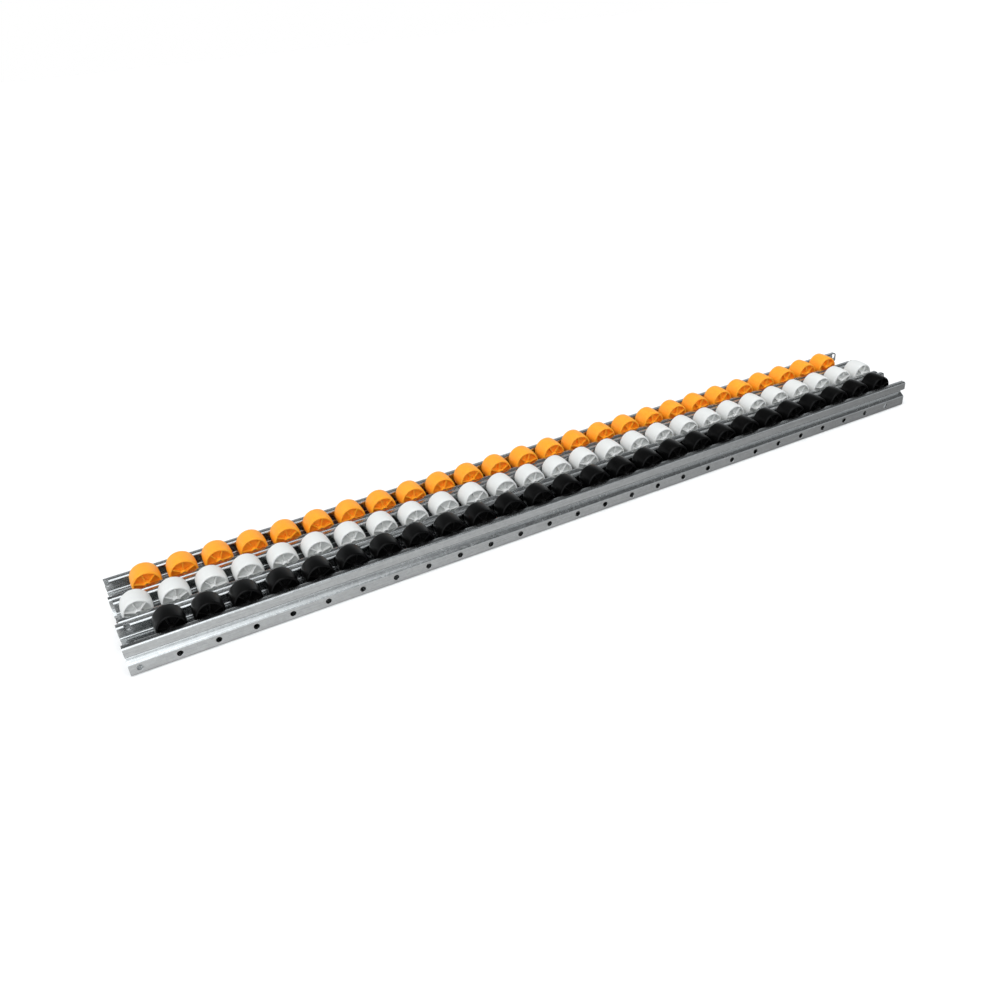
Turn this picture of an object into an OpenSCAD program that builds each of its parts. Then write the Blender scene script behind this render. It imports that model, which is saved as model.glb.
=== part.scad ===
// Gravity flow roller tracks: three rails side by side, each with a row of free-turning rollers.
// Millimetres. +X runs along the tracks, +Y from the front rail to the rear one, +Z up.
// The origin is under the middle of the set, on the surface that it stands on.

/* [Tracks] */
// Length of the front and rear rails
track_length = 896; // [300:1:1800]
// How far each end of the middle rail stands back from the others
middle_setback = 3; // [0:0.5:10]
// Distance from one axle to the next
roller_pitch = 33; // [30:0.5:60]

/* [Rail section] */
// Width of one rail
rail_width = 40; // [38:0.5:60]
// Height of one rail, from the floor to the top of the lip
rail_height = 29.5; // [28.5:0.5:40]
// Thickness of the steel sheet
sheet_t = 1.2; // [0.8:0.1:1.5]
// Radius inside each bend of the sheet
bend_r = 0.8; // [0.5:0.1:1]
// Width of the lip on top of each wall
lip_width = 7.5; // [6.5:0.5:8.5]
// Height of the outer face of the lip
lip_height = 9; // [8:0.5:10]
// How far the inner flange reaches down from the top of the lip
flange_drop = 9.5; // [7.5:0.5:10]
// Height of the flat wall below the clip groove
lower_wall = 11.7; // [10.3:0.1:12.5]
// Depth of the clip groove that runs along each wall
groove_depth = 6; // [3:0.5:6.5]

/* [Axle seats] */
// Height of the axles above the floor
axle_z = 26.2; // [24:0.1:27]
// Running clearance between the seat and the pin, on the radius
seat_clearance = 0.1; // [0.02:0.01:0.2]
// How far each seat is cut back into the lip from the inner flange's face
seat_reach = 2.4; // [2:0.1:3.5]
// Front rail's first seat, from the rail's left end
front_first_seat = 8.8; // [0:0.1:33]
// Middle rail's first seat, from the rail's left end
middle_first_seat = 17.5; // [0:0.1:33]
// Rear rail's first seat, from the rail's left end
rear_first_seat = 1.7; // [0:0.1:33]

/* [Side holes] */
// Diameter of the fixing holes below the seats
hole_d = 5.5; // [3:0.1:6.2]
// Height of the fixing holes above the floor
hole_z = 6.5; // [5.5:0.1:7]

/* [Rollers] */
// Diameter of the tread at its middle
roller_d = 27.5; // [22:0.5:29]
// Width of the tread
roller_width = 20; // [16:0.5:22.5]
// How much smaller the radius is at the edges of the tread than at its middle
crown = 0.5; // [0:0.05:1]
// Radius that rounds the edges of the tread
edge_r = 1.2; // [0.4:0.1:1.5]
// Thickness of the rim around the side pockets
rim_t = 1.7; // [1.6:0.1:3]
// Depth of the pockets in each side
pocket_depth = 4.5; // [2:0.5:7]
// Taper of the pocket's outer wall, on the radius
pocket_taper = 0.3; // [0:0.1:0.6]
// Ribs in each side
ribs = 6; // [4:1:12]
// Thickness of the ribs
rib_t = 1.1; // [0.6:0.1:1.6]
// How far the ribs stand back from the rim's side face
rib_setback = 0.3; // [0:0.1:1.5]
// Outer diameter of the hub
hub_d = 7; // [6.6:0.1:9]
// Side play between the hub and each flange
hub_play = 0.6; // [0.4:0.1:1.2]
// Running clearance between the hub and the pin, on the radius
bore_clearance = 0.06; // [0.02:0.01:0.1]

/* [Pins] */
// Diameter of the axle pins
pin_d = 4.8; // [3:0.1:5.2]
// Gap between each end of a pin and the back of its seat
pin_end_gap = 0.3; // [0.1:0.1:0.6]
// Chamfer on the pin's ends
pin_chamfer = 0.4; // [0.2:0.1:0.8]

/* [Hidden] */
$fn = 64;
eps = 0.01;
bend_steps = 5;
crown_steps = 5;
roller_r = roller_d / 2;
groove_top = rail_height - lip_height;
groove_mid = (groove_top + lower_wall) / 2;
channel_width = rail_width - 2 * lip_width;
seat_r = pin_d / 2 + seat_clearance;
hub_length = channel_width - 2 * hub_play;
pin_length = channel_width + 2 * (seat_reach - pin_end_gap);
// Successive rollers are turned by this much, so that their ribs don't line up
roller_turn = 137.5;

FRONT = 0;
MIDDLE = 1;
REAR = 2;
rail_length = [track_length, track_length - 2 * middle_setback, track_length];
first_seat = [front_first_seat, middle_first_seat, rear_first_seat];
roller_colour = [[0.09, 0.09, 0.1], [0.93, 0.93, 0.91], [1, 0.62, 0.12]];
steel = [0.72, 0.74, 0.75];

// Distances from a rail's left end to its seats, and to the seats that hold a roller:
// a roller is fitted where it doesn't overhang the end of the rail
function seats(lane) = [for (x = [first_seat[lane] : roller_pitch : rail_length[lane]]) x];
function fitted(lane) =
    [for (x = seats(lane)) if (x >= roller_r && x <= rail_length[lane] - roller_r) x];

function roller_name(row, i) = str(row, "_roller_", i < 10 ? "0" : "", i);
front_count = len(fitted(FRONT));
rear_count = len(fitted(REAR));

// ---- Bent sheet ----

function unit(v) = v / norm(v);
function left_of(v) = [-v[1], v[0]];
function turned(v, a) = [v[0] * cos(a) - v[1] * sin(a), v[0] * sin(a) + v[1] * cos(a)];

// Arc of one bend at corner b between a and c, on the face that lies depth inside the outer one
function bend_arc(a, b, c, depth) =
    let (
        u = unit(b - a),
        v = unit(c - b),
        side = cross(u, v) > 0 ? 1 : -1,
        angle = acos(u * v),
        outer = side > 0 ? bend_r + sheet_t : bend_r,
        centre = b - u * outer * tan(angle / 2) + left_of(u) * side * outer,
        r = outer - side * depth
    )
    [for (k = [0 : bend_steps]) centre - turned(left_of(u) * side * r, side * angle * k / bend_steps)];

// One face of a sheet that is bent at the given corners, with its metal on the left
function sheet_face(corners, depth) =
    let (last = len(corners) - 1)
    concat(
        [corners[0] + left_of(unit(corners[1] - corners[0])) * depth],
        [for (i = [1 : last - 1]) each bend_arc(corners[i - 1], corners[i], corners[i + 1], depth)],
        [corners[last] + left_of(unit(corners[last] - corners[last - 1])) * depth]
    );

function reversed(list) = [for (i = [len(list) - 1 : -1 : 0]) list[i]];

// Corners of one wall's outer face: flange, lip, clip groove, lower wall and floor
wall_corners = [
    [lip_width, rail_height - flange_drop],
    [lip_width, rail_height],
    [0, rail_height],
    [0, groove_top],
    [groove_depth, groove_mid],
    [0, lower_wall],
    [0, 0]
];
rail_corners = concat(wall_corners, [for (p = reversed(wall_corners)) [rail_width - p[0], p[1]]]);

module rail_section() {
    polygon(concat(sheet_face(rail_corners, 0), reversed(sheet_face(rail_corners, sheet_t))));
}

// ---- Rails ----

// Moves a lane's pieces from its own left front corner to its place in the set
module in_lane(lane) {
    translate([-rail_length[lane] / 2, (lane - 1.5) * rail_width, 0]) children();
}

// Cuts the seats of one axle in both flanges, open at the top so that the pin drops in
module axle_seat() {
    cut_length = channel_width + 2 * seat_reach;
    translate([0, lip_width - seat_reach + cut_length, axle_z])
        rotate([90, 0, 0]) linear_extrude(cut_length) {
            circle(seat_r);
            translate([-seat_r, 0]) square([2 * seat_r, rail_height]);
        }
}

module side_hole() {
    translate([0, -eps, hole_z]) rotate([-90, 0, 0]) cylinder(d = hole_d, h = rail_width + 2 * eps);
}

module rail(lane) {
    color(steel) in_lane(lane) difference() {
        rotate([90, 0, 90]) linear_extrude(rail_length[lane]) rail_section();
        for (x = seats(lane)) translate([x, 0, 0]) {
            axle_seat();
            side_hole();
        }
    }
}

module front_rail() { rail(FRONT); }
module middle_rail() { rail(MIDDLE); }
module rear_rail() { rail(REAR); }

// ---- Axle pins ----

module axle_pin() {
    straight = pin_length - 2 * pin_chamfer;
    rotate([90, 0, 0]) {
        cylinder(d = pin_d, h = straight, center = true);
        for (end = [0, 1]) mirror([0, 0, end]) translate([0, 0, straight / 2])
            cylinder(d1 = pin_d, d2 = pin_d - 2 * pin_chamfer, h = pin_chamfer);
    }
}

module axle_pins(lane) {
    color(steel) in_lane(lane)
        for (x = fitted(lane)) translate([x, rail_width / 2, axle_z]) axle_pin();
}

module front_axle_pins() { axle_pins(FRONT); }
module middle_axle_pins() { axle_pins(MIDDLE); }
module rear_axle_pins() { axle_pins(REAR); }

// ---- Rollers ----

// Outline of the tread: a shallow crown between two rounded edges
half_width = roller_width / 2;
edge_h = half_width - edge_r;
edge_centre_r = roller_r - crown - edge_r;
tread_outline = concat(
    [for (a = [-90 : 22.5 : -22.5]) [edge_centre_r + edge_r * cos(a), edge_r * sin(a) - edge_h]],
    [for (k = [-crown_steps : crown_steps]) let (f = k / crown_steps) [roller_r - crown * f * f, f * edge_h]],
    [for (a = [22.5 : 22.5 : 90]) [edge_centre_r + edge_r * cos(a), edge_r * sin(a) + edge_h]]
);
// Outline of one side: from the bore over the hub's end and the pocket's floor to the rim
pocket_floor = half_width - pocket_depth;
pocket_r = roller_r - crown - rim_t;
side_outline = [
    [pin_d / 2 + bore_clearance, hub_length / 2],
    [hub_d / 2, hub_length / 2],
    [hub_d / 2, pocket_floor],
    [pocket_r - pocket_taper, pocket_floor],
    [pocket_r, half_width]
];

module roller_body() {
    rotate_extrude() polygon(concat(
        tread_outline, reversed(side_outline), [for (p = side_outline) [p[0], -p[1]]]
    ));
}

module roller_ribs() {
    rib_start = (pin_d + hub_d) / 4;
    rib_end = pocket_r + (rim_t - edge_r) / 2;
    rib_height = 2 * (half_width - rib_setback);
    for (k = [0 : ribs - 1]) rotate([0, 0, k * 360 / ribs])
        translate([rib_start, -rib_t / 2, -rib_height / 2]) cube([rib_end - rib_start, rib_t, rib_height]);
}

module roller(turn) {
    rotate([90, turn, 0]) {
        roller_body();
        roller_ribs();
    }
}

// The roller in the i-th fitted seat of a lane, counted from 1 at the left
module lane_roller(lane, i) {
    color(roller_colour[lane]) in_lane(lane)
        translate([fitted(lane)[i - 1], rail_width / 2, axle_z]) roller(i * roller_turn);
}

module front_roller(i) { lane_roller(FRONT, i); }
module rear_roller(i) { lane_roller(REAR, i); }
module middle_rollers() { for (i = [1 : len(fitted(MIDDLE))]) lane_roller(MIDDLE, i); }

front_rail();
middle_rail();
rear_rail();
front_axle_pins();
middle_axle_pins();
rear_axle_pins();
middle_rollers();
for (i = [1 : front_count]) front_roller(i);
for (i = [1 : rear_count]) rear_roller(i);
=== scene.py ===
# %% [markdown]
# # Flow rack roller tracks
# Three bent steel rails stand side by side, and each carries a row of moulded rollers on
# short steel pins. This notebook dresses the fixed solid model: it keeps the rails and the
# pins, builds finer rollers in mesh code, and gives every surface a finish made of nodes.

# %% Load the solid model
import math

import bmesh
import bpy
from mathutils import Matrix, Vector


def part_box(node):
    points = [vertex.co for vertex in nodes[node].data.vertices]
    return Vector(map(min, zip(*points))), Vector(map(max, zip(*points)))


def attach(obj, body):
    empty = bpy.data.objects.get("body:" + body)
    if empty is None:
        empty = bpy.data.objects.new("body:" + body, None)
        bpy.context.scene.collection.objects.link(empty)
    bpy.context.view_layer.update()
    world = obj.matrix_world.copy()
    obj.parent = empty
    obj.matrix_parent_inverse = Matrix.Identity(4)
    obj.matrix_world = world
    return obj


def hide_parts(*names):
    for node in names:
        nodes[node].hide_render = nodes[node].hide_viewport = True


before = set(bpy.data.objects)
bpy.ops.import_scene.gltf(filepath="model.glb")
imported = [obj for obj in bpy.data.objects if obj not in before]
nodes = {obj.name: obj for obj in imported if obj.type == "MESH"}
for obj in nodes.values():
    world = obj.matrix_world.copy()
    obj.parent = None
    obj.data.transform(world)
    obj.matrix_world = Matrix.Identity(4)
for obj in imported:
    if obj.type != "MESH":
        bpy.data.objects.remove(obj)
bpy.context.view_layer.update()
MM = 0.001

# %% [markdown]
# ## Camera
# A viewer stands in front of the left end and looks along the tracks from above. A camera
# could be placed by hand, but a target, two angles and a distance are easier to read and to
# change. A lens near 33 mm is slightly wide, so the near end looms as it does in a real room.
# The small shift slides the view sideways without turning the camera, so the perspective
# stays as it is.

# %% Camera
TARGET = Vector((-51.5, -22.6, 15.0)) * MM
AZIMUTH, ELEVATION, ROLL = math.radians(26.519), math.radians(30.955), math.radians(-4.222)
DISTANCE = 946.5 * MM
SENSOR_WIDTH, LENS = 36.0, 33.313
SHIFT_ACROSS, SHIFT_UP = -0.0240, 0.0029
NEAREST, FARTHEST = 0.01, 20.0

towards_eye = Vector((
    -math.sin(AZIMUTH) * math.cos(ELEVATION),
    -math.cos(AZIMUTH) * math.cos(ELEVATION),
    math.sin(ELEVATION),
))
camera = bpy.data.objects.new("camera", bpy.data.cameras.new("camera"))
camera.data.sensor_width, camera.data.lens = SENSOR_WIDTH, LENS
camera.data.shift_x, camera.data.shift_y = SHIFT_ACROSS, SHIFT_UP
camera.data.clip_start, camera.data.clip_end = NEAREST, FARTHEST
turn = (-towards_eye).to_track_quat("-Z", "Y").to_matrix().to_4x4()
place = Matrix.Translation(TARGET + towards_eye * DISTANCE)
camera.matrix_world = place @ turn @ Matrix.Rotation(ROLL, 4, "Z")
bpy.context.scene.collection.objects.link(camera)
bpy.context.scene.camera = camera
print("camera at, mm:", [round(v / MM) for v in camera.matrix_world.translation])

# %% [markdown]
# ## Small helpers for node trees
# Every finish below is a small graph of nodes. Writing each link by hand hides the idea. So
# one helper fills a node's inputs, with a plain value or with a link from another node, and
# one adds a node and fills it.

# %% Node helpers
def fill_node(tree, node, inputs):
    for name, value in inputs.items():
        if isinstance(value, bpy.types.NodeSocket):
            tree.links.new(value, node.inputs[name])
        else:
            node.inputs[name].default_value = value


def add_node(tree, kind, inputs=None, **settings):
    node = tree.nodes.new(kind)
    for name, value in settings.items():
        setattr(node, name, value)
    fill_node(tree, node, inputs or {})
    return node


print("ready: fill_node and add_node")

# %% [markdown]
# ### Steps that come up all the time
# A finish is mostly sums, blends of two colours, soft random patterns and the stretching of a
# value from one range to another. Each gets a short name, so that a finish below reads as a
# recipe and not as a list of nodes.

# %% Sums, blends and noise
def maths(tree, operation, a, b, clamp=False):
    node = add_node(tree, "ShaderNodeMath", {0: a, 1: b}, operation=operation, use_clamp=clamp)
    return node.outputs[0]


def vectors(tree, operation, a, b):
    node = add_node(tree, "ShaderNodeVectorMath", {0: a, 1: b}, operation=operation)
    return node.outputs["Value" if operation == "DOT_PRODUCT" else "Vector"]


def scaled(tree, vector, factor):
    inputs = {0: vector, "Scale": factor}
    return add_node(tree, "ShaderNodeVectorMath", inputs, operation="SCALE").outputs[0]


def blend_of(tree, factor, first, second):
    """Blend of two colours, which are sockets 6 and 7 of a mix node."""
    inputs = {0: factor, 6: first, 7: second}
    return add_node(tree, "ShaderNodeMix", inputs, data_type="RGBA").outputs[2]


def span(tree, value, low, high, new_low=0.0, new_high=1.0):
    names = ("Value", "From Min", "From Max", "To Min", "To Max")
    inputs = dict(zip(names, (value, low, high, new_low, new_high)))
    return add_node(tree, "ShaderNodeMapRange", inputs).outputs[0]


def noise(tree, where, scale, detail=2.0, seed=None):
    """Soft random pattern. Each seed, where one is given, makes a pattern of its own."""
    inputs = {"Vector": where, "Scale": scale, "Detail": detail}
    if seed is None:
        return add_node(tree, "ShaderNodeTexNoise", inputs).outputs
    inputs["W"] = seed
    return add_node(tree, "ShaderNodeTexNoise", inputs, noise_dimensions="4D").outputs


def bumpy(tree, height, normal, strength, depth):
    inputs = {"Height": height, "Normal": normal, "Strength": strength, "Distance": depth}
    return add_node(tree, "ShaderNodeBump", inputs).outputs[0]


def object_place(tree):
    return add_node(tree, "ShaderNodeTexCoord").outputs["Object"]


print("ready: sums, vectors, blends, spans, noise and bumps")

# %% [markdown]
# ### Groups and materials
# A pattern that several finishes share is a node group: a graph with named inputs and
# outputs, built once and placed wherever it is wanted. A material could be started from
# Blender's default, but an empty one with only a shader and an output holds no surprises.

# %% Group and material helpers
def new_group(name, inputs, outputs):
    tree = bpy.data.node_groups.new(name, "ShaderNodeTree")
    for label, kind, value in inputs:
        socket = tree.interface.new_socket(label, in_out="INPUT", socket_type="NodeSocket" + kind)
        if value is not None:
            socket.default_value = value
    for label, kind in outputs:
        tree.interface.new_socket(label, in_out="OUTPUT", socket_type="NodeSocket" + kind)
    return tree, tree.nodes.new("NodeGroupInput").outputs, tree.nodes.new("NodeGroupOutput")


def place_group(tree, group, **values):
    node = tree.nodes.new("ShaderNodeGroup")
    node.node_tree = group
    fill_node(tree, node, {label.replace("_", " "): value for label, value in values.items()})
    return node.outputs


def new_material(name):
    material = bpy.data.materials.new(name)
    material.use_nodes = True
    tree = material.node_tree
    tree.nodes.clear()
    shader = tree.nodes.new("ShaderNodeBsdfPrincipled")
    add_node(tree, "ShaderNodeOutputMaterial", {"Surface": shader.outputs[0]})
    return material, tree, shader


print("ready: new_group, place_group and new_material")

# %% [markdown]
# ## Zinc spangle
# Hot-dip galvanised sheet is covered in zinc crystals, a few millimetres wide, that each
# catch the light a little differently. A noise alone looks like clouds, so Voronoi cells
# give the crystals their straight borders, and a random grey per cell sets their brightness.
# The group puts out a shade for the colour, and the crystals' own grey for the roughness.

# %% Spangle group
spangle, given, out = new_group(
    "zinc_spangle",
    [("Vector", "Vector", None), ("Crystal mm", "Float", 4.0), ("Contrast", "Float", 0.2)],
    [("Shade", "Float"), ("Flake", "Float")],
)
CELLS_PER_METRE_AT_1_MM = 1000.0
WARP_FREQUENCY, WARP_REACH = 0.9, 0.0025
FINE_FREQUENCY = 2.7
LARGE_SHARE, FINE_SHARE = 0.7, 0.3

frequency = maths(spangle, "DIVIDE", CELLS_PER_METRE_AT_1_MM, given["Crystal mm"])
warp_frequency = maths(spangle, "MULTIPLY", frequency, WARP_FREQUENCY)
warp = noise(spangle, given["Vector"], warp_frequency, detail=3.0)
bent = vectors(spangle, "ADD", given["Vector"], scaled(spangle, warp["Color"], WARP_REACH))
fine_frequency = maths(spangle, "MULTIPLY", frequency, FINE_FREQUENCY)
greys = []
for cell_frequency in (frequency, fine_frequency):
    cells = add_node(spangle, "ShaderNodeTexVoronoi", {"Vector": bent, "Scale": cell_frequency})
    greys.append(add_node(spangle, "ShaderNodeSeparateColor", {0: cells.outputs["Color"]}).outputs)
large_grey = maths(spangle, "MULTIPLY", greys[0]["Red"], LARGE_SHARE)
fine_grey = maths(spangle, "MULTIPLY", greys[1]["Green"], FINE_SHARE)
flake = maths(spangle, "ADD", large_grey, fine_grey)
swing = maths(spangle, "MULTIPLY", maths(spangle, "SUBTRACT", flake, 0.5), given["Contrast"])
fill_node(spangle, out, {"Shade": maths(spangle, "ADD", 1.0, swing), "Flake": flake})
print("group:", spangle.name)

# %% [markdown]
# ## Rolling grain
# The strip passes through rolls before it is bent, and the rolls leave hair-fine lines
# along its length. Noise that is stretched hard along X draws such lines: the same texture
# serves the rails, along X, and the pins, along Y, because the stretch is an input.

# %% Grain group
grain, given, out = new_group(
    "rolled_grain",
    [("Vector", "Vector", None), ("Stretch", "Vector", (12.0, 1400.0, 1400.0))],
    [("Lines", "Float")],
)
GRAIN_ROUGHNESS = 0.65
lines = add_node(grain, "ShaderNodeTexNoise", {
    "Vector": vectors(grain, "MULTIPLY", given["Vector"], given["Stretch"]),
    "Scale": 1.0, "Detail": 4.0, "Roughness": GRAIN_ROUGHNESS,
})
fill_node(grain, out, {"Lines": lines.outputs[0]})
print("group:", grain.name)

# %% [markdown]
# ## Worn edges
# Edges that are handled or rubbed by boxes lose their bloom and turn bright. Comparing the
# plain normal with one that is rounded over a small radius finds every edge, whatever the
# mesh, and a little noise breaks the line up. The same rounded normal also softens the cut
# edges of the sheet, so the group puts out both.

# %% Edge wear group
wear, given, out = new_group(
    "worn_edges",
    [("Vector", "Vector", None), ("Radius", "Float", 0.0004), ("Breakup", "Float", 600.0)],
    [("Mask", "Float"), ("Normal", "Vector")],
)
BEVEL_SAMPLES = 4
# Cosine of the angle between the two normals, where the mask is 0 and where it is 1
NO_EDGE, FULL_EDGE = 0.995, 0.86
BREAKUP_FROM, BREAKUP_TO = 0.35, 0.62
rounded = add_node(
    wear, "ShaderNodeBevel", {"Radius": given["Radius"]}, samples=BEVEL_SAMPLES).outputs[0]
shaded_normal = add_node(wear, "ShaderNodeNewGeometry").outputs["Normal"]
agreement = vectors(wear, "DOT_PRODUCT", rounded, shaded_normal)
patchy = noise(wear, given["Vector"], given["Breakup"], detail=3.0)[0]
mask = maths(wear, "MULTIPLY", span(wear, agreement, NO_EDGE, FULL_EDGE),
             span(wear, patchy, BREAKUP_FROM, BREAKUP_TO), clamp=True)
fill_node(wear, out, {"Mask": mask, "Normal": rounded})
print("group:", wear.name)

# %% [markdown]
# ## Dust and scuffs
# Nothing that rolls in a warehouse stays clean. Dust settles on what faces up and stays in
# soft patches, and scuffs are short strokes. One group makes both masks from noise, and each
# finish decides how strongly it shows them.

# %% Dust group
dust, given, out = new_group(
    "dust_and_scuffs",
    [("Vector", "Vector", None), ("Patch", "Float", 90.0), ("Seed", "Float", 0.0)],
    [("Dust", "Float"), ("Scuffs", "Float")],
)
PATCH_FROM, PATCH_TO = 0.42, 0.72
FLAT_FROM, FLAT_TO = 0.1, 1.0
STROKES = (260.0, 2600.0, 900.0)
STROKE_FROM, STROKE_TO = 0.66, 0.74

patches = noise(dust, given["Vector"], given["Patch"], detail=5.0, seed=given["Seed"])[0]
normal = add_node(dust, "ShaderNodeNewGeometry").outputs["Normal"]
facing_up = add_node(dust, "ShaderNodeSeparateXYZ", {0: normal}).outputs["Z"]
settled = maths(dust, "MULTIPLY", span(dust, patches, PATCH_FROM, PATCH_TO),
                span(dust, facing_up, FLAT_FROM, FLAT_TO))
stretched = vectors(dust, "MULTIPLY", given["Vector"], STROKES)
strokes = noise(dust, stretched, scale=1.0, seed=given["Seed"])[0]
fill_node(dust, out, {"Dust": settled, "Scuffs": span(dust, strokes, STROKE_FROM, STROKE_TO)})
print("group:", dust.name)

# %% [markdown]
# ## Galvanised steel for the rails
# The rails are bent from zinc-coated sheet: a cool light grey, neither mirror nor matt. A
# plain metal shader would look like chrome, so the spangle moves the colour and the
# roughness, the rolling grain adds a faint bump, and worn edges go bright.

# %% Rail material
ZINC = (0.63, 0.64, 0.64)
ZINC_DUST = (0.50, 0.50, 0.48, 1)
BARE_ZINC = (0.86, 0.87, 0.88, 1)
DUST_COLOUR_SHARE, DUST_ROUGHNESS = 0.12, 0.08
LINES_LOW, LINES_HIGH = 0.32, 0.68
DARK_LINE, LIGHT_LINE = 0.82, 1.12
SMOOTH_ZINC, ROUGH_ZINC = 0.17, 0.26

galvanised, tree, shader = new_material("galvanised_sheet")
where = object_place(tree)
crystals = place_group(tree, spangle, Vector=where, Crystal_mm=2.4, Contrast=0.18)
rolled = place_group(tree, grain, Vector=where)
edges = place_group(tree, wear, Vector=where, Radius=0.00035)
grime = place_group(tree, dust, Vector=where, Patch=55.0)
line_shade = span(tree, rolled["Lines"], LINES_LOW, LINES_HIGH, DARK_LINE, LIGHT_LINE)
zinc = scaled(tree, ZINC, maths(tree, "MULTIPLY", crystals["Shade"], line_shade))
dusty_share = maths(tree, "MULTIPLY", grime["Dust"], DUST_COLOUR_SHARE)
zinc = blend_of(tree, dusty_share, zinc, ZINC_DUST)
zinc = blend_of(tree, edges["Mask"], zinc, BARE_ZINC)
flake_rough = span(tree, crystals["Flake"], 0.0, 1.0, SMOOTH_ZINC, ROUGH_ZINC)
dust_rough = maths(tree, "MULTIPLY", grime["Dust"], DUST_ROUGHNESS)
fill_node(tree, shader, {
    "Base Color": zinc,
    "Metallic": 1.0,
    "Roughness": maths(tree, "ADD", flake_rough, dust_rough),
    "Normal": bumpy(tree, rolled["Lines"], edges["Normal"], strength=0.10, depth=0.0001),
})
print("material:", galvanised.name)

# %% [markdown]
# ## Steel for the pins
# The axle pins are cut from drawn wire and turn bright where the hubs and the seats rub
# them. They are small, so one fine grain along their length and a slightly darker tone than
# the rails are enough to tell them apart.

# %% Pin material
ALONG_THE_PIN = (1500.0, 30.0, 1500.0)
DARK_WIRE, PALE_WIRE = (0.30, 0.30, 0.31, 1), (0.48, 0.48, 0.49, 1)
RUBBED_WIRE = (0.78, 0.78, 0.78, 1)
SMOOTH_WIRE, ROUGH_WIRE = 0.22, 0.42

pin_steel, tree, shader = new_material("drawn_pin_steel")
where = object_place(tree)
drawn = place_group(tree, grain, Vector=where, Stretch=ALONG_THE_PIN)
edges = place_group(tree, wear, Vector=where, Radius=0.0002)
wire = blend_of(tree, drawn["Lines"], DARK_WIRE, PALE_WIRE)
fill_node(tree, shader, {
    "Base Color": blend_of(tree, edges["Mask"], wire, RUBBED_WIRE),
    "Metallic": 1.0,
    "Roughness": span(tree, drawn["Lines"], 0.2, 0.8, SMOOTH_WIRE, ROUGH_WIRE),
    "Normal": bumpy(tree, drawn["Lines"], edges["Normal"], strength=0.2, depth=0.00005),
})
print("material:", pin_steel.name)

# %% [markdown]
# ## Moulded nylon in three colours
# The rollers are injection moulded, so they share one build and differ in colour. One
# function makes the finish from a few values instead of three copies of the same graph. Each
# object carries its own random number, which shifts the noise, so that no two look stamped.

# %% The build of the nylon
SEED_SPREAD = 50.0
NYLON_DUST = (0.55, 0.53, 0.50, 1)
CLOUD_SHARE, PALE_EDGE_SHARE = 0.35, 0.15
SMOOTHER, ROUGHER, SCUFF_ROUGHNESS = 0.04, 0.06, 0.12
SKIN_FREQUENCY = 2200.0
SCATTER_DEPTH = 0.0025


def moulded_nylon(name, colour, pale, roughness, scatter, radius, dusty, gloss):
    material, tree, shader = new_material(name)
    where = object_place(tree)
    chance = add_node(tree, "ShaderNodeObjectInfo").outputs["Random"]
    own = maths(tree, "MULTIPLY", chance, SEED_SPREAD)
    marks = place_group(tree, dust, Vector=where, Patch=110.0, Seed=own)
    edges = place_group(tree, wear, Vector=where, Radius=0.0003, Breakup=400.0)
    cloud = noise(tree, where, scale=60.0, detail=4.0, seed=own)[0]
    tint = blend_of(tree, span(tree, cloud, 0.35, 0.65, 0.0, CLOUD_SHARE), colour, pale)
    tint = blend_of(tree, maths(tree, "MULTIPLY", edges["Mask"], PALE_EDGE_SHARE), tint, pale)
    tint = blend_of(tree, maths(tree, "MULTIPLY", marks["Dust"], dusty), tint, NYLON_DUST)
    rough = span(tree, cloud, 0.3, 0.7, roughness - SMOOTHER, roughness + ROUGHER)
    scuffed = maths(tree, "MULTIPLY", marks["Scuffs"], SCUFF_ROUGHNESS)
    skin = noise(tree, where, SKIN_FREQUENCY)[0]
    fill_node(tree, shader, {
        "Base Color": tint,
        "Roughness": maths(tree, "ADD", rough, scuffed),
        "Normal": bumpy(tree, skin, edges["Normal"], strength=0.12, depth=0.00004),
        "IOR": gloss,
        "Subsurface Weight": scatter,
        "Subsurface Scale": SCATTER_DEPTH,
        "Subsurface Radius": radius,
    })
    print("material:", material.name)
    return material


print("ready: moulded_nylon, with a scatter depth of %.1f mm" % (SCATTER_DEPTH / MM))

# %% [markdown]
# ### The three colours
# Real black nylon is dense and lets no light in, so its scatter is nil and its gloss low. The
# white and the orange glow a little from inside, most in red, which softens their shadows.

# %% Nylon materials
nylon = {
    "front": moulded_nylon(
        "black_moulded_nylon", (0.002, 0.002, 0.002, 1), (0.004, 0.004, 0.004, 1),
        roughness=0.30, scatter=0.0, radius=(1.0, 1.0, 1.0), dusty=0.005, gloss=1.20),
    "middle": moulded_nylon(
        "white_moulded_nylon", (0.69, 0.70, 0.69, 1), (0.74, 0.75, 0.74, 1),
        roughness=0.45, scatter=0.40, radius=(1.0, 0.97, 0.93), dusty=0.02, gloss=1.45),
    "rear": moulded_nylon(
        "orange_moulded_nylon", (0.98, 0.36, 0.020, 1), (1.00, 0.43, 0.035, 1),
        roughness=0.45, scatter=0.40, radius=(1.0, 0.5, 0.2), dusty=0.01, gloss=1.45),
}

# %% [markdown]
# ## Rails: softened bends
# Each rail is one bent sheet, and its solid already has the right shape, so the rail stays
# and only its shading changes. The faces come in apart from one another, with flat normals.
# A few geometry nodes weld them and shade them smooth, except across sharp edges, so a bend
# of five flats reads as one round corner without a vertex moving.

# %% Soft shading for the steel
WELD_DISTANCE = 2e-6
SHARP_ANGLE = math.radians(34)

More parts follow.
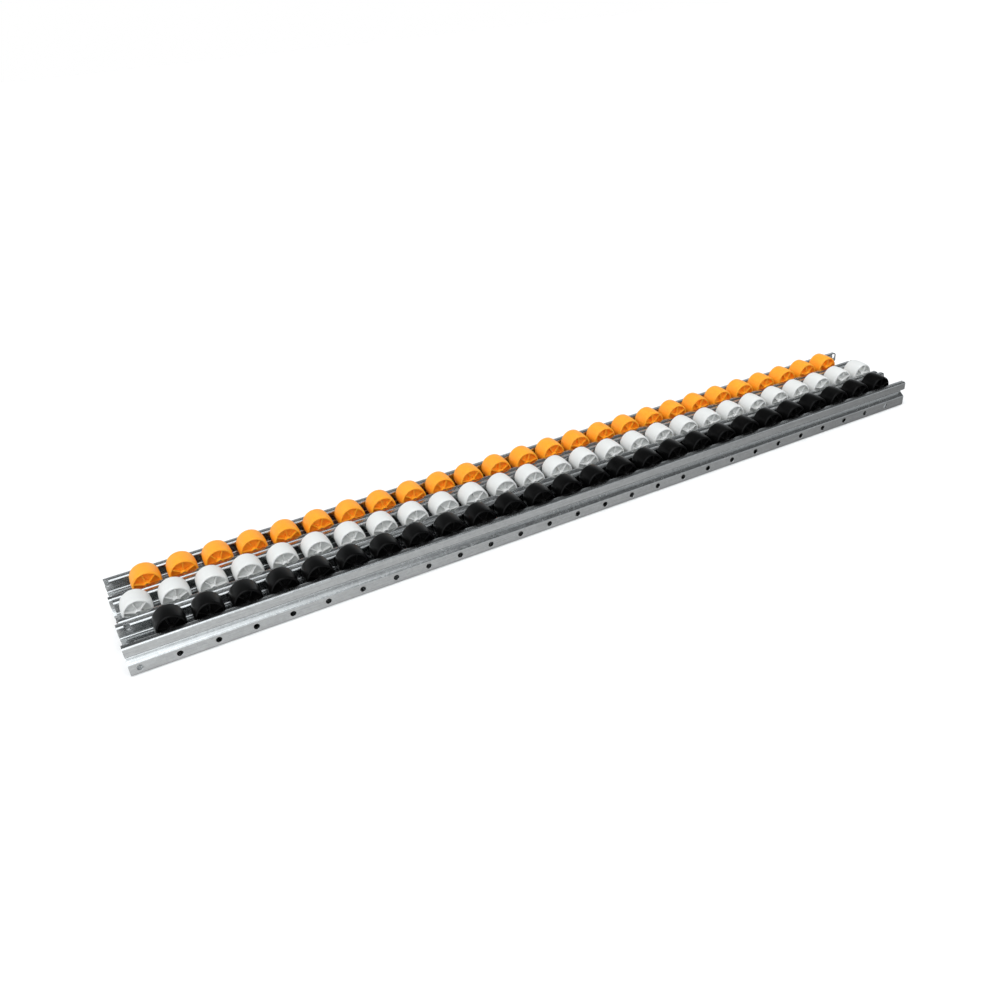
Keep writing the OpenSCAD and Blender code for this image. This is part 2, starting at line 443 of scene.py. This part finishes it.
soften = bpy.data.node_groups.new("soften_bends", "GeometryNodeTree")
for direction in ("INPUT", "OUTPUT"):
    soften.interface.new_socket("Geometry", in_out=direction, socket_type="NodeSocketGeometry")
solid = soften.nodes.new("NodeGroupInput").outputs[0]
welded = add_node(soften, "GeometryNodeMergeByDistance", {
    "Geometry": solid, "Distance": WELD_DISTANCE,
}).outputs[0]
plain = add_node(soften, "GeometryNodeRemoveAttribute", {
    "Geometry": welded, "Name": "custom_normal",
}).outputs[0]
smooth = add_node(soften, "GeometryNodeSetShadeSmooth", {"Geometry": plain}, domain="FACE")
edge_angle = soften.nodes.new("GeometryNodeInputMeshEdgeAngle").outputs["Unsigned Angle"]
sharp = add_node(soften, "FunctionNodeCompare", {0: edge_angle, 1: SHARP_ANGLE},
                 data_type="FLOAT", operation="GREATER_THAN").outputs[0]
creased = add_node(soften, "GeometryNodeSetShadeSmooth", {
    "Geometry": smooth.outputs[0], "Selection": sharp, "Shade Smooth": False,
}, domain="EDGE").outputs[0]
soften.links.new(creased, soften.nodes.new("NodeGroupOutput").inputs[0])
print("sharp above, degrees:", round(math.degrees(SHARP_ANGLE)))

# %% [markdown]
# ### The rails and the pins get their finish
# The steel pieces are the solid model's own, so they already sit on the right body. Each one
# gets the soft bends and its material.

# %% Dress the rails and the pins
ROWS = ("front", "middle", "rear")


def dress_steel(node_name, material):
    piece = nodes[node_name]
    piece.modifiers.new("soft_bends", "NODES").node_group = soften
    piece.data.materials.clear()
    piece.data.materials.append(material)
    low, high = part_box(node_name)
    print(node_name, "is", [round(v / MM, 1) for v in high - low], "mm")


for row in ROWS:
    dress_steel(row + "_rail", galvanised)
    dress_steel(row + "_axle_pins", pin_steel)

# %% [markdown]
# ## One roller as a mesh
# A roller is a wheel with a slightly crowned tread, a thin rim, and six ribs round a hub in
# each side. It could be turned with a Screw modifier and cut with booleans, but booleans
# leave ragged triangles where ribs meet walls. Here the whole skin is one grid: columns run
# round the axle and crowd together at each rib, and rows run from the bore over the hub,
# the pocket and the rim to the tread, and back down the other side. The tread's radius, the
# hub's length and the axle's height are read from the solid roller, and the other sizes
# repeat it.

# %% Sizes of the roller
low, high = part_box("front_roller_01")
TREAD_R = (high.x - low.x) / 2
HUB_HALF = (high.y - low.y) / 2
AXLE_Z = (low.z + high.z) / 2
HALF_WIDTH = 10.0 * MM
CROWN = 0.5 * MM
EDGE_R = 1.2 * MM
RIM = 1.7 * MM
POCKET_R = TREAD_R - CROWN - RIM
POCKET_FLOOR = HALF_WIDTH - 4.5 * MM
TAPER = 0.3 * MM
HUB_R = 3.5 * MM
BORE_R = 2.46 * MM
RIB_TOP = HALF_WIDTH - 0.3 * MM
RIB_HALF = 0.55 * MM
RIBS = 6
print("tread radius %.2f mm, hub half length %.2f mm" % (TREAD_R / MM, HUB_HALF / MM))

# %% [markdown]
# ### Columns
# Between two ribs the skin is the pocket's floor, and on a rib it is the rib's top, so each
# column has a height share from 0 to 1. Near a rib a column keeps its distance from the
# rib's middle, so that the rib has parallel walls: two columns stand at nearly the same
# place, one up and one down. The columns between two ribs share out the angle that is left.

# %% Columns of the grid
SECTOR = 2 * math.pi / RIBS
BESIDE_RIB = 1.6 * RIB_HALF
# Half of a rib's section, from its middle out: (distance in half ribs, height share)
HALF_SECTION = ((0.0, 1.0), (0.7, 1.0), (1.0, 0.92), (1.08, 0.0), (1.6, 0.0))
rib_section = [(-distance, share) for distance, share in reversed(HALF_SECTION[1:])]
rib_section += HALF_SECTION

# Each column is (angle of its rib, distance from the rib's middle, height share, way to mid gap)
columns = []
for rib in range(RIBS):
    for way_on in (0.75, 0.5, 0.25):
        columns.append((rib * SECTOR, -BESIDE_RIB, 0.0, way_on))
    for distance, share in rib_section:
        columns.append((rib * SECTOR, distance * RIB_HALF, share, 0.0))
    for way_on in (0.25, 0.5, 0.75, 1.0):
        columns.append((rib * SECTOR, BESIDE_RIB, 0.0, way_on))
print("columns round the axle:", len(columns))

# %% [markdown]
# ### Rows
# The rows are the roller's section: a list of points, each with a radius and a height from
# the middle. An arc rounds the tread's edge and a shallow curve makes its crown. Where two
# walls meet inside, two close rows stand for the small rounding that every moulding has.

# %% Rows of the grid, from the bore to the middle of the tread
NEAR, FAR = 0.15 * MM, 0.6 * MM
HUB_CHAMFER = 0.25 * MM
MID_FLOOR_R = 7.6 * MM


def edge_arc(steps):
    """Points of the rounded tread edge in the roller's section, as (radius, height) pairs."""
    angles = [math.pi / 2 * (1 - k / steps) for k in range(steps + 1)]
    centre_r, centre_height = TREAD_R - CROWN - EDGE_R, HALF_WIDTH - EDGE_R
    return [(centre_r + EDGE_R * math.cos(a), centre_height + EDGE_R * math.sin(a))
            for a in angles]


def crown_curve(steps):
    """Points of the shallow crown from the rounded edge to the middle of the tread."""
    shares = [1 - k / steps for k in range(1, steps + 1)]
    return [(TREAD_R - CROWN * s * s, (HALF_WIDTH - EDGE_R) * s) for s in shares]


hub_rows = [
    (BORE_R, HUB_HALF - NEAR),
    (BORE_R + NEAR, HUB_HALF),
    (HUB_R - HUB_CHAMFER, HUB_HALF),
    (HUB_R, HUB_HALF - HUB_CHAMFER),
    (HUB_R, RIB_TOP + 0.2 * MM),
]
floor_edge = POCKET_R - TAPER
pocket_rows = [
    (HUB_R, RIB_TOP),
    (HUB_R, POCKET_FLOOR + FAR),
    (HUB_R + NEAR, POCKET_FLOOR + NEAR),
    (HUB_R + FAR, POCKET_FLOOR),
    (MID_FLOOR_R, POCKET_FLOOR),
    (floor_edge - FAR, POCKET_FLOOR),
    (floor_edge - NEAR, POCKET_FLOOR + NEAR),
    (floor_edge + 0.03 * MM, POCKET_FLOOR + FAR),
    (POCKET_R - 0.02 * MM, RIB_TOP),
]
rim_rows = [(POCKET_R, HALF_WIDTH - 0.1 * MM), (POCKET_R + 0.06 * MM, HALF_WIDTH)]
rows = hub_rows + pocket_rows + rim_rows + edge_arc(4) + crown_curve(5)
print("rows from the bore to the middle:", len(rows))

# %% [markdown]
# ### A point of the grid
# A point takes its radius and height from its row, and its angle from its column. In the
# pocket the column's share lifts it towards the rib's top. Near the hub a lifted point also
# moves out a hair, so that no face there is without area.

# %% Where a row meets a column
NEAR_HUB = 7.0 * MM
HAIR = 0.05 * MM


def grid_point(row, column):
    radius, height = row
    rib_angle, distance, share, way_on = column
    if row in pocket_rows and height < RIB_TOP:
        height += (RIB_TOP - height) * share
        radius += HAIR * share * (radius < NEAR_HUB)
    beside = math.asin(distance / radius)
    half_gap = math.copysign(SECTOR / 2, distance) - beside
    angle = rib_angle + beside + half_gap * way_on
    return Vector((radius * math.cos(angle), height, radius * math.sin(angle)))


print("first point, mm:", [round(v / MM, 2) for v in grid_point(rows[0], columns[0])])

# %% [markdown]
# ### The grid becomes a mesh
# The rows of one half are mirrored for the other half, and every four neighbours make one
# face. The last ring joins the first round the axle, and the last row joins the first
# through the bore, so the skin closes on itself like a tube and encloses a volume.

# %% Build the roller
SMOOTH_BELOW = math.radians(40)


def build_roller_mesh():
    mesh = bmesh.new()
    half = [[grid_point(row, column) for column in columns] for row in rows]
    back = [[Vector((p.x, -p.y, p.z)) for p in ring] for ring in reversed(half[:-1])]
    rings = [[mesh.verts.new(p) for p in ring] for ring in half + back]
    for inner, outer in zip(rings, rings[1:] + rings[:1]):
        for k in range(len(columns)):
            after = (k + 1) % len(columns)
            mesh.faces.new((inner[k], outer[k], outer[after], inner[after]))
    bmesh.ops.recalc_face_normals(mesh, faces=mesh.faces)
    open_edges = sum(edge.is_boundary for edge in mesh.edges)
    print("roller: %d faces, %d open edges, %.0f mm3" % (
        len(mesh.faces), open_edges, mesh.calc_volume() / MM**3))
    data = bpy.data.meshes.new("roller")
    mesh.to_mesh(data)
    mesh.free()
    data.shade_smooth()
    data.set_sharp_from_angle(angle=SMOOTH_BELOW)
    return data


roller_mesh = build_roller_mesh()
row_mesh = {}
for row in ROWS:
    row_mesh[row] = roller_mesh.copy()
    row_mesh[row].name = row + "_roller_mesh"
    row_mesh[row].materials.append(nylon[row])
print("meshes:", [mesh.name for mesh in row_mesh.values()])

# %% [markdown]
# ## Seventy-nine rollers
# All the rollers are the same moulding, so each row shares one mesh and each roller is an
# object of its own with its own place and turn. An array modifier would need less code, but
# then no roller could turn by itself. Successive rollers stand at other angles, as they do
# once goods have rolled over them. The front and rear rollers ride on bodies of their own,
# and the middle ones on the tracks.

# %% Place the rollers
TURN = math.radians(137.5)
PITCH = 33.0 * MM


def place_roller(row, number, centre, body, replaced):
    piece = bpy.data.objects.new("%s_roller_moulding_%02d" % (row, number), row_mesh[row])
    bpy.context.scene.collection.objects.link(piece)
    piece.matrix_world = Matrix.Translation(centre) @ Matrix.Rotation(number * TURN, 4, "Y")
    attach(piece, body)
    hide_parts(replaced)


made = 0
for row in ("front", "rear"):
    for name in sorted(n for n in nodes if n.startswith(row + "_roller_")):
        low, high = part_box(name)
        place_roller(row, int(name[-2:]), (low + high) / 2, name, name)
        made += 1
low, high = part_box("middle_rollers")
first = Vector((low.x + TREAD_R, (low.y + high.y) / 2, AXLE_Z))
middle_count = round((high.x - low.x - 2 * TREAD_R) / PITCH) + 1
for number in range(1, middle_count + 1):
    centre = first + Vector(((number - 1) * PITCH, 0, 0))
    place_roller("middle", number, centre, "tracks", "middle_rollers")
    made += 1
print("rollers placed:", made)

# %% [markdown]
# ## Floor
# The set lies on a plain white table. To the eye the paper is white all over. What the steel
# mirrors of it is painted light and shade: a grey painted into the floor's colour that falls
# off from left to right, standing in for a light over the left end. A switch on the kind of
# ray keeps the two apart.

# %% Floor
FLOOR_HALF = 6.0
FLOOR_DROP = 0.0002
PAPER_LOW, PAPER_HIGH = (0.90, 0.90, 0.90, 1), (0.92, 0.92, 0.92, 1)
# Painted light and shade: the floor's grey in reflections, bright at the left end and dark at the
# right
PAINTED_LIGHT_LEFT, PAINTED_SHADE_RIGHT = 0.62, 0.20
PAPER_ROUGHNESS, FIBRE_FREQUENCY = 0.9, 300.0
TRACK_START, TRACK_END = -0.5, 0.5

floor_mesh = bpy.data.meshes.new("floor")
corners = [(-FLOOR_HALF, -FLOOR_HALF, 0), (FLOOR_HALF, -FLOOR_HALF, 0),
           (FLOOR_HALF, FLOOR_HALF, 0), (-FLOOR_HALF, FLOOR_HALF, 0)]
floor_mesh.from_pydata(corners, [], [(0, 1, 2, 3)])
floor = bpy.data.objects.new("floor", floor_mesh)
floor.location.z = -FLOOR_DROP
bpy.context.scene.collection.objects.link(floor)

paper, tree, shader = new_material("pale_paper_painted_light")
where = object_place(tree)
fibres = noise(tree, where, FIBRE_FREQUENCY)[0]
white = blend_of(tree, fibres, PAPER_LOW, PAPER_HIGH)
along = add_node(tree, "ShaderNodeSeparateXYZ", {0: where}).outputs["X"]
# Painted light falloff: the grey fades from the left end of the tracks to the right end
grey = span(tree, along, TRACK_START, TRACK_END, PAINTED_LIGHT_LEFT, PAINTED_SHADE_RIGHT)
painted_light_floor = add_node(
    tree, "ShaderNodeCombineColor", {"Red": grey, "Green": grey, "Blue": grey}).outputs[0]
# Only the eye sees the white paper; every other ray meets the painted light falloff
to_eye = add_node(tree, "ShaderNodeLightPath").outputs["Is Camera Ray"]
fill_node(tree, shader, {
    "Base Color": blend_of(tree, to_eye, painted_light_floor, white),
    "Roughness": PAPER_ROUGHNESS,
})
floor_mesh.materials.append(paper)
print("floor: %.0f m wide" % (2 * FLOOR_HALF))

# %% [markdown]
# ## Light
# One very wide light shines from above the left end. A sun lamp with a large angle lights
# both ends alike, where an area lamp would fade along the tracks. The steel doesn't mirror
# the lamp itself: the next step gives it a room to mirror.

# %% Ceiling light
LIGHT_STRENGTH = 2.3
LIGHT_ANGLE = math.radians(80)
comes_from = Vector((-0.30, -0.40, 0.87))

sun = bpy.data.lights.new("ceiling_light", "SUN")
sun.energy, sun.angle = LIGHT_STRENGTH, LIGHT_ANGLE
holder = bpy.data.objects.new("ceiling_light", sun)
holder.visible_glossy = False
holder.matrix_world = (-comes_from).to_track_quat("-Z", "Y").to_matrix().to_4x4()
bpy.context.scene.collection.objects.link(holder)
print("light from", [round(v, 2) for v in comes_from])

# %% [markdown]
# ## The room
# Steel shows whatever stands round it, and an evenly white room would turn it white. So the
# room that the steel mirrors has a pale wall all round, a dim ceiling, and two soft bright
# patches, one overhead and one in front on the left, which is what gives each bent face a
# shade of its own.

# %% What the steel mirrors
WALL_LIGHT, CEILING_LIGHT = 0.52, 0.12
WALL_TOP_FROM, WALL_TOP_TO = 0.38, 0.48
# Each patch is (direction, angle where it fades out, angle of its bright core, strength)
PATCHES = (
    ((-0.25, -0.22, 0.94), 34, 14, 1.9),
    ((-0.45, -0.75, 0.48), 40, 18, 2.2),
)

world = bpy.data.worlds.new("studio")
bpy.context.scene.world = world
world.use_nodes = True
sky = world.node_tree
sky.nodes.clear()
way = add_node(sky, "ShaderNodeTexCoord").outputs["Generated"]
height = add_node(sky, "ShaderNodeSeparateXYZ", {0: way}).outputs["Z"]
mirrored = span(sky, height, WALL_TOP_FROM, WALL_TOP_TO, WALL_LIGHT, 0.0)
for direction, fade, core, strength in PATCHES:
    agree = vectors(sky, "DOT_PRODUCT", way, tuple(Vector(direction).normalized()))
    low_cosine, high_cosine = math.cos(math.radians(fade)), math.cos(math.radians(core))
    glow = span(sky, agree, low_cosine, high_cosine, 0.0, strength)
    mirrored = maths(sky, "ADD", mirrored, glow)
mirrored = maths(sky, "ADD", mirrored, CEILING_LIGHT)
print("bright patches in the room:", len(PATCHES))

# %% [markdown]
# ### One room for each kind of ray
# The light that falls on the set comes from an even, slightly blue room. Glossy surfaces
# mirror the room of patches, and the eye sees plain white behind the table. Light Path tells
# the kinds of ray apart. The view transform is Standard, so that white is shown as white.

# %% Join the rooms
def background(colour, strength):
    inputs = {"Color": colour, "Strength": strength}
    return add_node(sky, "ShaderNodeBackground", inputs).outputs[0]


even_room = background((0.95, 0.98, 1.0, 1), 0.65)
mirrored_room = background((0.93, 0.97, 1.0, 1), mirrored)
white_wall = background((1.0, 1.0, 1.0, 1), 1.0)
path = add_node(sky, "ShaderNodeLightPath").outputs
shown = even_room
for kind, room in (("Is Glossy Ray", mirrored_room), ("Is Camera Ray", white_wall)):
    shown = add_node(sky, "ShaderNodeMixShader", {0: path[kind], 1: shown, 2: room}).outputs[0]
add_node(sky, "ShaderNodeOutputWorld", {"Surface": shown})
bpy.context.scene.view_settings.view_transform = "Standard"
print("world:", world.name)
